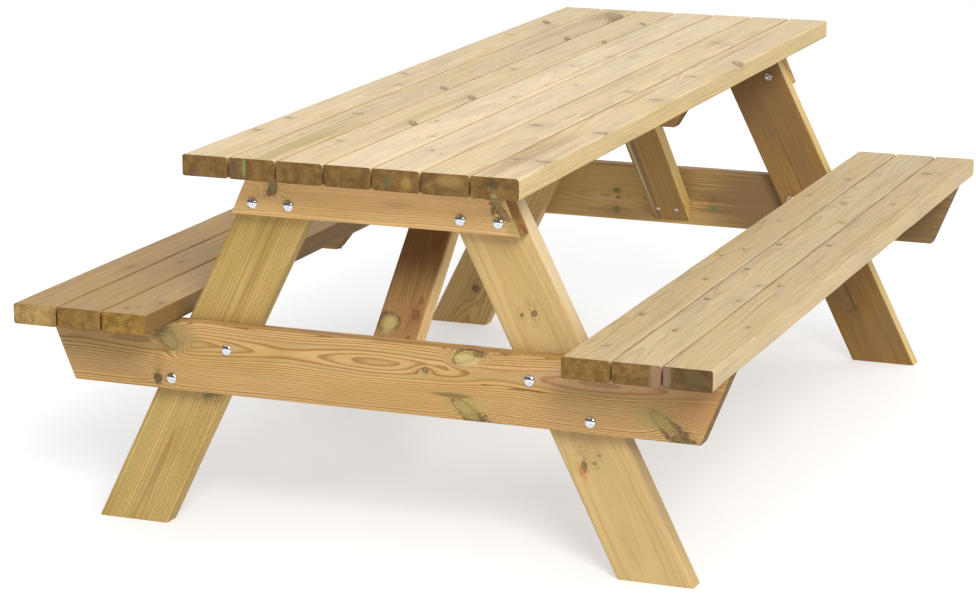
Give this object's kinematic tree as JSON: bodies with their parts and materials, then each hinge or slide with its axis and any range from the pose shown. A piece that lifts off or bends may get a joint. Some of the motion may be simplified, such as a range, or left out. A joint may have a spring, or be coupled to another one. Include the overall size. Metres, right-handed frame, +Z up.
{
  "type": "picnic table",
  "caption": "Wooden picnic table with attached benches on slanting bolted legs, with battens and braces under the boards.",
  "frame": {"origin": "centre of the table at floor level, under the middle of the table top", "axes": "+X across the table from the left bench to the right bench, +Y along the boards from the front end to the back end, +Z up"},
  "size_m": [1.312, 1.95, 0.73],
  "materials": {
    "top_boards": "sawn and planed softwood, pale straw, uncoated",
    "bench_boards": "sawn and planed softwood, pale tan, uncoated",
    "legs": "planed treated softwood, olive brown",
    "rails": "planed treated softwood, orange tan",
    "bearers": "planed treated softwood, orange tan",
    "battens": "planed treated softwood, brown",
    "braces": "planed treated softwood, reddish brown",
    "bolts": "bright zinc plating",
    "nuts": "bright zinc plating"
  },
  "bodies": {
    "root": {"top_board_1": "top_boards", "top_board_2": "top_boards", "top_board_3": "top_boards", "top_board_4": "top_boards", "top_board_5": "top_boards", "top_board_6": "top_boards", "top_board_7": "top_boards", "bench_board_left_1": "bench_boards", "bench_board_left_2": "bench_boards", "bench_board_left_3": "bench_boards", "bench_board_right_1": "bench_boards", "bench_board_right_2": "bench_boards", "bench_board_right_3": "bench_boards", "leg_front_left": "legs", "leg_front_right": "legs", "leg_back_left": "legs", "leg_back_right": "legs", "top_rail_front": "rails", "top_rail_back": "rails", "seat_bearer_front": "bearers", "seat_bearer_back": "bearers", "top_batten": "battens", "bench_batten_left": "battens", "bench_batten_right": "battens", "brace_front": "braces", "brace_back": "braces", "bolt_front_left_1": "bolts", "bolt_front_left_2": "bolts", "bolt_front_left_3": "bolts", "bolt_front_left_4": "bolts", "bolt_front_right_1": "bolts", "bolt_front_right_2": "bolts", "bolt_front_right_3": "bolts", "bolt_front_right_4": "bolts", "bolt_back_left_1": "bolts", "bolt_back_left_2": "bolts", "bolt_back_left_3": "bolts", "bolt_back_left_4": "bolts", "bolt_back_right_1": "bolts", "bolt_back_right_2": "bolts", "bolt_back_right_3": "bolts", "bolt_back_right_4": "bolts", "nut_front_left_1": "nuts", "nut_front_left_2": "nuts", "nut_front_left_3": "nuts", "nut_front_left_4": "nuts", "nut_front_right_1": "nuts", "nut_front_right_2": "nuts", "nut_front_right_3": "nuts", "nut_front_right_4": "nuts", "nut_back_left_1": "nuts", "nut_back_left_2": "nuts", "nut_back_left_3": "nuts", "nut_back_left_4": "nuts", "nut_back_right_1": "nuts", "nut_back_right_2": "nuts", "nut_back_right_3": "nuts", "nut_back_right_4": "nuts"}
  },
  "joints": []
}
